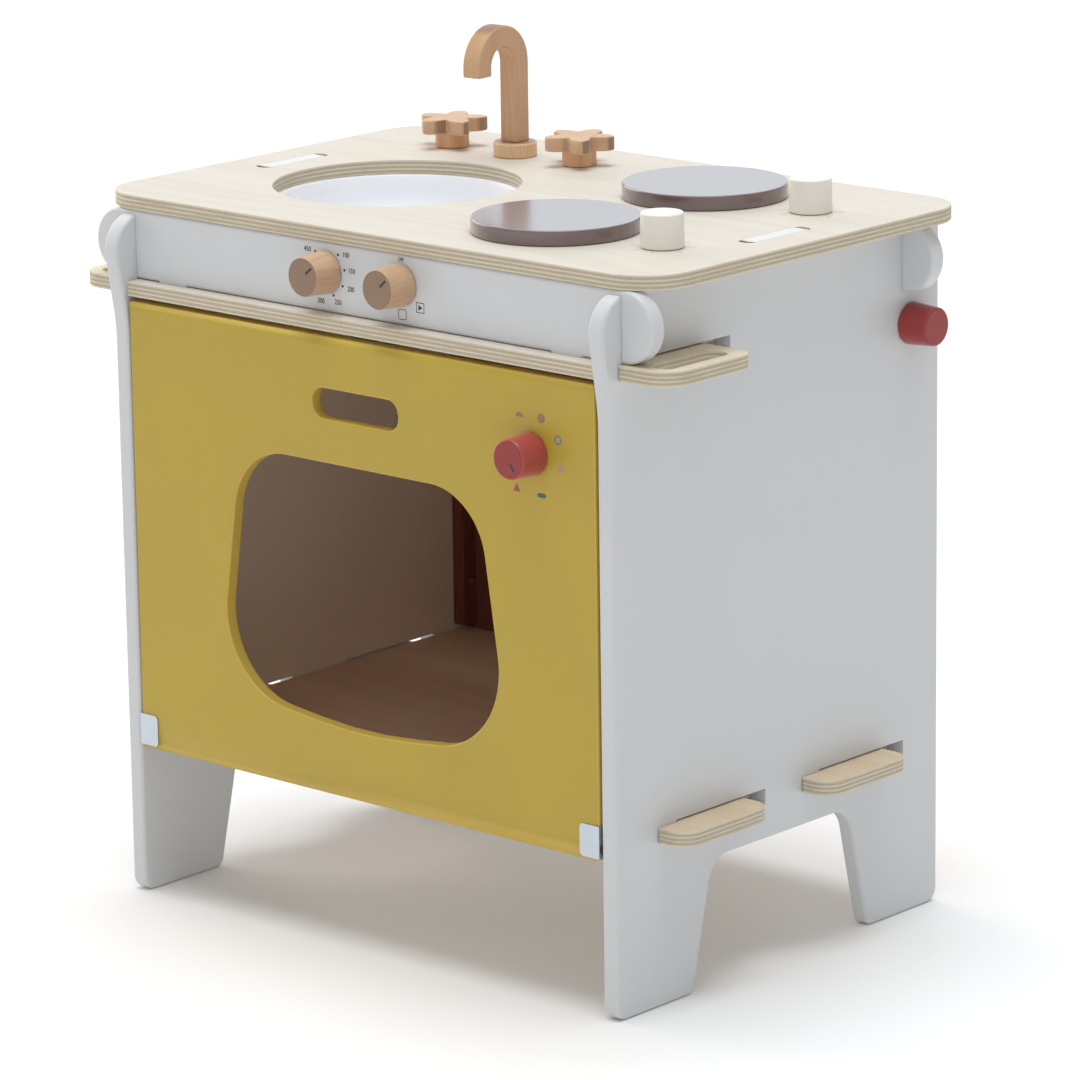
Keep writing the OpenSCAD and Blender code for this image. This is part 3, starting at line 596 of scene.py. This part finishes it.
fine = {}
for n in ("left_side", "right_side"):
    fine[n] = refine(n, 3.2, side_weight, 5, clamp=False)
fine["control_panel"] = refine("control_panel", 3.0, rail_weight(12.5), 5, clamp=False)
fine["rear_panel"] = refine("rear_panel", 3.0, rail_weight(352.6), 5, clamp=False)
fine["door"] = refine("door", 1.9, door_weight, 4, clamp=False)
for n in ("worktop", "upper_shelf", "bottom_shelf"):
    fine[n] = refine(n, 0.8, 1.0, 3, clamp=False)
for n in ("temperature_knob", "program_knob", "door_knob", "side_knob", "front_burner_knob", "rear_burner_knob"):
    fine[n] = refine(n, 0.15, 1.0, 1, 50)
for n in ("front_hob_plate", "rear_hob_plate"):
    fine[n] = refine(n, 0.5, 1.0, 2, 35)
for n in ("left_tap_hub", "right_tap_hub"):
    fine[n] = refine(n, 0.8, 1.0, 3, 50)


def stand_in(node, bm):
    """New mesh that stands for a CAD node of the same size."""
    bmesh.ops.recalc_face_normals(bm, faces=bm.faces)
    for f in bm.faces:
        f.smooth = True
    me = bpy.data.meshes.new("fine_" + node)
    bm.to_mesh(me)
    bm.free()
    ob = bpy.data.objects.new("fine_" + node, me)
    bpy.context.scene.collection.objects.link(ob)
    w = ob.modifiers.new("normals", "WEIGHTED_NORMAL")
    w.keep_sharp = True
    w.weight = 60
    me.materials.append(OWN.get(node) or MATS[SLOT[node]])
    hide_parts(node)
    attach(ob, frame["nodes"][node]["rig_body"])
    return ob


def skin(bm, rings):
    """Joins equal rings of points into a closed tube with flat ends."""
    vs = [[bm.verts.new(p) for p in ring] for ring in rings]
    n = len(vs[0])
    for a, b in zip(vs, vs[1:]):
        for i in range(n):
            bm.faces.new((a[i], a[(i + 1) % n], b[(i + 1) % n], b[i]))
    bm.faces.new(vs[0])
    bm.faces.new(vs[-1])


def star(node, cx, cy, z0, ang, R=1.5):
    """Five-fingered handle with rounded rims."""
    bm = bmesh.new()
    rings = []
    prof = [(R * (1 - math.sin(math.radians(t))), R * (1 - math.cos(math.radians(t)))) for t in (0, 18, 36, 54, 72, 90)]
    prof = prof + [(d, 12 - z) for d, z in reversed(prof)]
    for d, z in prof:
        ring = []
        for i in range(160):
            a = i * 2.25
            k = ((1 + math.cos(math.radians(5 * a))) / 2) ** 0.75
            q = 15.5 + 14.5 * k - d
            b = math.radians(a + ang)
            ring.append(Vector(((cx + q * math.cos(b)) * MM, (cy + q * math.sin(b)) * MM - MY, (z0 + z) * MM)))
        rings.append(ring)
    skin(bm, rings)
    return stand_in(node, bm)


def swan_neck():
    """Squared spout: column, half-round bend and short drop, with rounded corners all the way."""
    h, rr, yaw = 8.75, 1.7, math.radians(4)
    prof = []
    for k, (sx, sy) in enumerate([(1, 1), (-1, 1), (-1, -1), (1, -1)]):
        for i in range(6):
            t = math.radians(90 * k + 18 * i)
            prof.append((sx * (h - rr) + rr * math.cos(t), sy * (h - rr) + rr * math.sin(t)))
    path = [(0.0, 12.8, 0.0, 0.5), (0.0, 12.95, 0.0, 0.15), (0.0, 13.3, 0.0, 0.0), (0.0, 14.5, 0.0, 0.0), (0.0, 30.0, 0.0, 0.0), (0.0, 55.0, 0.0, 0.0)]
    path += [(-24.5 + 24.5 * math.cos(math.radians(t)), 80 + 24.5 * math.sin(math.radians(t)), t, 0.0) for t in range(0, 181, 4)]
    path += [(-49.0, 74.2, 180.0, 0.0), (-49.0, 73.35, 180.0, 0.35), (-49.0, 73.0, 180.0, 1.2)]
    bm = bmesh.new()
    rings = []
    for y, z, t, d in path:
        t = math.radians(t)
        k = (h - d) / h
        ring = []
        for u, v in prof:
            X = u * k
            Y = y + v * k * math.cos(t)
            Z = z + v * k * math.sin(t)
            ring.append(Vector(((-127.5 + X * math.cos(yaw) - Y * math.sin(yaw)) * MM, (333.5 + X * math.sin(yaw) + Y * math.cos(yaw)) * MM - MY, (588 + Z) * MM)))
        rings.append(ring)
    skin(bm, rings)
    return stand_in("spout", bm)


fine["left_tap_star"] = star("left_tap_star", -199.0, 333.5, 601.5, 44)
fine["right_tap_star"] = star("right_tap_star", -56.0, 333.5, 601.5, 26)
fine["spout"] = swan_neck()
fine["spout_collar"] = refine("spout_collar", 0.4, 1.0, 2, 35)
fine["sink_basin"] = refine("sink_basin", 0.5, 1.0, 2, 50)
for n in ("left_hinge_clip", "right_hinge_clip"):
    fine[n] = refine(n, 0.35, 1.0, 2, 50)
for n in ("left_batten", "right_batten"):
    fine[n] = refine(n, 0.8, 1.0, 2, 50)
fine["back_panel"] = refine("back_panel", 0.3, 1.0, 2, 50)
for n in ("strike_plate", "catch_housing", "catch_magnet"):
    fine[n] = refine(n, 0.3, 1.0, 2, 50)
for n in frame["nodes"]:
    if n not in fine:
        fine[n] = refine(n, 0.2, 1.0, 2, 40)


# ------------------------------------------------------------------ printed marks, inlays, and painted shade in the screws' cross recesses
def add(name, me, mat, body):
    ob = bpy.data.objects.new(name, me)
    bpy.context.scene.collection.objects.link(ob)
    me.materials.clear()
    me.materials.append(mat)
    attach(ob, body)
    return ob


def plate(name, loops, to3, thick, mat, body):
    """Thin slab from an outline (and one hole) in 2D millimetres, mapped by to3(u, v, w) to metres."""
    bm = bmesh.new()
    if len(loops) == 1:
        for w in (0, thick):
            pass
        a = [bm.verts.new(to3(u, v, 0)) for u, v in loops[0]]
        b = [bm.verts.new(to3(u, v, thick)) for u, v in loops[0]]
        bm.faces.new(a)
        bm.faces.new(b)
        n = len(a)
        for i in range(n):
            bm.faces.new((a[i], a[(i + 1) % n], b[(i + 1) % n], b[i]))
    else:
        o, h = loops
        ao = [bm.verts.new(to3(u, v, 0)) for u, v in o]
        bo = [bm.verts.new(to3(u, v, thick)) for u, v in o]
        ah = [bm.verts.new(to3(u, v, 0)) for u, v in h]
        bh = [bm.verts.new(to3(u, v, thick)) for u, v in h]
        n = len(o)
        for i in range(n):
            j = (i + 1) % n
            bm.faces.new((ao[i], ao[j], bo[j], bo[i]))
            bm.faces.new((ah[i], ah[j], bh[j], bh[i]))
            bm.faces.new((bo[i], bo[j], bh[j], bh[i]))
            bm.faces.new((ao[i], ao[j], ah[j], ah[i]))
    bmesh.ops.recalc_face_normals(bm, faces=bm.faces)
    me = bpy.data.meshes.new(name)
    bm.to_mesh(me)
    bm.free()
    return add(name, me, mat, body)


def rrect(cx, cz, w, h, r, n=6):
    pts = []
    for k, (sx, sy) in enumerate([(1, 1), (-1, 1), (-1, -1), (1, -1)]):
        for i in range(n + 1):
            a = math.radians(90 * k + 90 * i / n)
            pts.append((cx + sx * (w / 2 - r) + r * math.cos(a), cz + sy * (h / 2 - r) + r * math.sin(a)))
    return pts


def disc(cx, cz, r, n=32, a0=0, a1=360):
    m = n if a1 - a0 >= 360 else n + 1
    return [(cx + r * math.cos(math.radians(a0 + (a1 - a0) * i / n)), cz + r * math.sin(math.radians(a0 + (a1 - a0) * i / n))) for i in range(m)]


def spin(pts, cx, cz, deg):
    a = math.radians(deg)
    return [(cx + (u - cx) * math.cos(a) - (v - cz) * math.sin(a), cz + (u - cx) * math.sin(a) + (v - cz) * math.cos(a)) for u, v in pts]


def front(y):
    return lambda u, v, w: Vector((u * MM, (y - w) * MM - MY, v * MM))


def top(z):
    return lambda u, v, w: Vector((u * MM, v * MM - MY, (z + w) * MM))


def text(name, s, u, v, size, to3, mat, body, squeeze=0.9, bold=0.11):
    cu = bpy.data.curves.new(name, "FONT")
    cu.body = s
    cu.size = size
    cu.align_x = "CENTER"
    cu.align_y = "CENTER"
    cu.extrude = 0.03
    cu.resolution_u = 4
    cu.offset = bold
    tmp = bpy.data.objects.new(name + "_tmp", cu)
    bpy.context.scene.collection.objects.link(tmp)
    dg = bpy.context.evaluated_depsgraph_get()
    me = bpy.data.meshes.new_from_object(tmp.evaluated_get(dg))
    bpy.data.objects.remove(tmp)
    bpy.data.curves.remove(cu)
    for vert in me.vertices:
        c = vert.co
        vert.co = to3(u + c.x * squeeze, v + c.y, c.z + 0.03)
    bm = bmesh.new()
    bm.from_mesh(me)
    bmesh.ops.recalc_face_normals(bm, faces=bm.faces)
    bm.to_mesh(me)
    bm.free()
    me.name = name
    return add(name, me, mat, body)


BLACK = ink("print_black", (0.030, 0.032, 0.036))
GREY = ink("print_grey", (0.30, 0.29, 0.28))
DARKGREY_PRINT_AND_SHADE = ink("print_and_shade_dark_grey", (0.10, 0.095, 0.09))
F = front(12.5)
for s, u, v in [("450", -58.7, 567.8), ("100", -17.1, 567.6), ("150", -11.2, 555.5), ("200", -12.4, 540.8),
                ("250", -26.6, 528.7), ("300", -45.2, 527.7), ("350", -60.0, 536.0), ("400", -64.6, 552.8)]:
    text("dial_" + s, s, u, v, 5.7, F, BLACK, "carcass")
for i, a in enumerate([130, 50, 10, -30, -70, -110, -150, 170]):
    r = 19.4
    plate("dial_dot_%d" % i, [disc(-38.0 + r * math.cos(math.radians(a)), 552.1 + r * math.sin(math.radians(a)), 1.12, 20)], F, 0.06, BLACK, "carcass")
text("off_mark", "OFF", 42.1, 571.4, 4.0, F, BLACK, "carcass")
cx, cz = 61.7, 535.8
plate("play_frame", [rrect(cx, cz, 8.6, 8.4, 0.5), rrect(cx, cz, 7.3, 7.1, 0.3)], F, 0.06, BLACK, "carcass")
plate("play_mark", [[(cx - 1.9, cz + 2.3), (cx - 1.9, cz - 2.3), (cx + 2.3, cz)]], F, 0.06, BLACK, "carcass")
cx, cz = 42.6, 528.2
plate("stop_frame", [rrect(cx, cz, 8.8, 8.6, 2.0), rrect(cx, cz, 7.4, 7.2, 1.4)], F, 0.06, DARKGREY_PRINT_AND_SHADE, "carcass")

T = top(588)
for k, cy in enumerate((112, 292)):
    for i, a in enumerate([196, 244, 292, 345, 37, 84, 140]):
        bar = spin([(243.7, cy - 0.35), (250.7, cy - 0.35), (250.7, cy + 0.35), (243.7, cy + 0.35)], 224, cy, a)
        plate("burner_tick_%d_%d" % (k, i), [bar], T, 0.05, GREY, "carcass")


def face_of(node):
    """Front face of a knob, metres."""
    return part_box(node)[0].y


def knob_tick(name, body, c, ang, r0, g, height, kind, mat):
    """Black inlay in the pointer groove of a knob."""
    o = [(r0 + 0.05, -0.72), (r0 + g - 0.05, -0.72), (r0 + g - 0.05, 0.72), (r0 + 0.05, 0.72)]
    o = spin(o, 0, 0, ang)
    if kind == "front":
        f = lambda u, v, w: Vector(((c[0] + u) * MM, (c[1] - height - w) * MM - MY, (c[2] + v) * MM))
    else:
        f = lambda u, v, w: Vector(((c[0] + u) * MM, (c[1] + v) * MM - MY, (c[2] + height + w) * MM))
    plate(name, [o], f, 0.72, mat, body)
    o = spin([(r0 - 0.2, -0.98), (r0 + g + 0.2, -0.98), (r0 + g + 0.2, 0.98), (r0 - 0.2, 0.98)], 0, 0, ang)
    if kind == "front":
        plate(name + "_rim", [o], lambda u, v, w: Vector(((c[0] + u) * MM, face_of(body) - 0.00002 - w * MM, (c[2] + v) * MM)), 0.05, mat, body)


knob_tick("temperature_tick", "temperature_knob", (-39, 12.2, 551.6), 40, 4.8, 8, 25.75, "front", BLACK)
knob_tick("program_tick", "program_knob", (41.2, 12.2, 551.6), 42, 4.2, 8, 25.75, "front", BLACK)
knob_tick("door_knob_tick", "door_knob", (186.6, -0.3, 440.7), -54, 3.7, 6.5, 25.75, "front", BLACK)

# plain geometric motifs round the door's knob
D = front(0)
kx, kz = 186.6, 440.7
BROWN = ink("print_brown", (0.30, 0.19, 0.10))
BLUE = ink("print_blue", (0.19, 0.22, 0.27))
GREEN = ink("print_green", (0.055, 0.13, 0.075))
ROSE = ink("print_rose", (0.47, 0.27, 0.20))
REDINK = ink("print_red", (0.36, 0.075, 0.07))


def at(a, r):
    return kx + r * math.cos(math.radians(a)), kz + r * math.sin(math.radians(a))


u, v = at(70, 31)
plate("motif_disc", [disc(u, v, 3.9)], D, 0.06, BROWN, "door")
u, v = at(28, 31)
plate("motif_ring", [disc(u, v, 4.0), disc(u, v, 2.3)], D, 0.06, BLUE, "door")
u, v = at(-14, 31)
plate("motif_square", [spin(rrect(u, v, 6.0, 6.0, 0.6), u, v, 45)], D, 0.06, ROSE, "door")
u, v = at(-72, 33)
plate("motif_bar", [rrect(u, v, 9.0, 3.6, 1.7)], D, 0.06, GREEN, "door")
u, v = at(-118, 33)
plate("motif_triangle", [[(u - 3.8, v - 2.6), (u + 3.8, v - 2.6), (u, v + 4.0)]], D, 0.06, REDINK, "door")
u, v = at(112, 31)
plate("motif_half", [disc(u, v - 1.5, 4.0, 24, 0, 180)], D, 0.06, BROWN, "door")

# painted shade of the screws' cross recesses: dark grey crosses on the heads that show from behind
for s in (-1, 1):
    for i, z in enumerate((170, 265, 385, 490)):
        f = lambda u, v, w: Vector((u * MM, (401 + 1.6 - 0.04 + w) * MM - MY, v * MM))
        x = s * (253 - 6.5)
        a = 20 * i + (35 if s > 0 else 0)
        for k in (0, 90):
            plate("recess_%s%d_%d" % ("l" if s < 0 else "r", i, k), [spin([(x - 1.5, z - 0.3), (x + 1.5, z - 0.3), (x + 1.5, z + 0.3), (x - 1.5, z + 0.3)], x, z, a + k)], f, 0.06 + k / 9000.0, DARKGREY_PRINT_AND_SHADE, "carcass")


# ------------------------------------------------------------------ floor, light, camera
fm = Mat("floor")
fn = fm.noise(fm.co, 3, 2)
fm.set(Base_Color=fm.mix(fm.span(fn, 0.3, 0.7), (0.90, 0.90, 0.898), (0.915, 0.915, 0.913)), Roughness=fm.span(fn, 0.3, 0.7, 0.75, 0.85))
fm.b.inputs["Specular IOR Level"].default_value = 0.2
bm = bmesh.new()
S = 14.0
vs = [bm.verts.new((x, y, 0)) for x, y in ((-S, -S), (S, -S), (S, S), (-S, S))]
bm.faces.new(vs)
fme = bpy.data.meshes.new("floor")
bm.to_mesh(fme)
bm.free()
floor = bpy.data.objects.new("floor", fme)
fme.materials.append(fm.m)
bpy.context.scene.collection.objects.link(floor)

world = bpy.data.worlds.new("studio")
bpy.context.scene.world = world
world.use_nodes = True
wt = world.node_tree
bg = wt.nodes["Background"]
bg.inputs[0].default_value = (1.0, 0.875, 0.786, 1)     # warm fill against slightly cool lamps
bg.inputs[1].default_value = WORLD
paper = wt.nodes.new("ShaderNodeBackground")
paper.inputs[0].default_value = (1.0, 1.0, 1.0, 1)
paper.inputs[1].default_value = 1.05
shine = wt.nodes.new("ShaderNodeBackground")       # what glossy surfaces see of the white backdrop
shine.inputs[0].default_value = (1.0, 1.0, 1.0, 1)
shine.inputs[1].default_value = 0.50
path = wt.nodes.new("ShaderNodeLightPath")
gloss = wt.nodes.new("ShaderNodeMixShader")
wt.links.new(path.outputs["Is Glossy Ray"], gloss.inputs[0])
wt.links.new(bg.outputs[0], gloss.inputs[1])
wt.links.new(shine.outputs[0], gloss.inputs[2])
swap = wt.nodes.new("ShaderNodeMixShader")
wt.links.new(path.outputs["Is Camera Ray"], swap.inputs[0])
wt.links.new(gloss.outputs[0], swap.inputs[1])
wt.links.new(paper.outputs[0], swap.inputs[2])
wt.links.new(swap.outputs[0], wt.nodes["World Output"].inputs[0])


def sun(name, az, el, angle, strength, col=(0.87, 0.93, 0.968)):
    """Light from azimuth az (0 from the front, 90 from the right, 180 from behind) and elevation el."""
    li = bpy.data.lights.new(name, "SUN")
    li.angle = math.radians(angle)
    li.energy = strength
    li.color = col
    ob = bpy.data.objects.new(name, li)
    d = Vector((math.sin(math.radians(az)) * math.cos(math.radians(el)), -math.cos(math.radians(az)) * math.cos(math.radians(el)), math.sin(math.radians(el))))
    ob.location = d * 4
    ob.rotation_euler = d.to_track_quat("Z", "Y").to_euler()
    bpy.context.scene.collection.objects.link(ob)
    return ob


for k, v in SUNS.items():
    if v[3] > 0:
        sun(k, *v)

cam = bpy.data.cameras.new("camera")
cam.lens = 185.0
cam.sensor_width = 36.0
cam.sensor_fit = "HORIZONTAL"
cam.clip_end = 60
co = bpy.data.objects.new("camera", cam)
bpy.context.scene.collection.objects.link(co)
a, e, r = math.radians(41.99), math.radians(14.30), math.radians(-0.819)
back = Vector((math.sin(a) * math.cos(e), -math.cos(a) * math.cos(e), math.sin(e)))
right = Vector((math.cos(a), math.sin(a), 0))
up = back.cross(right)
r2 = right * math.cos(r) + up * math.sin(r)
u2 = -right * math.sin(r) + up * math.cos(r)
M = Matrix((
    (r2.x, u2.x, back.x, 2.9454),
    (r2.y, u2.y, back.y, -3.2447),
    (r2.z, u2.z, back.z, 1.4222),
    (0, 0, 0, 1)))
co.matrix_world = M
sc = bpy.context.scene
sc.camera = co
sc.view_settings.view_transform = "Standard"
sc.view_settings.look = "None"
sc.view_settings.exposure = 0
sc.view_settings.gamma = 1
sc.cycles.use_denoising = True
sc.cycles.max_bounces = 10
sc.cycles.diffuse_bounces = 6
sc.cycles.sample_clamp_indirect = 6.0
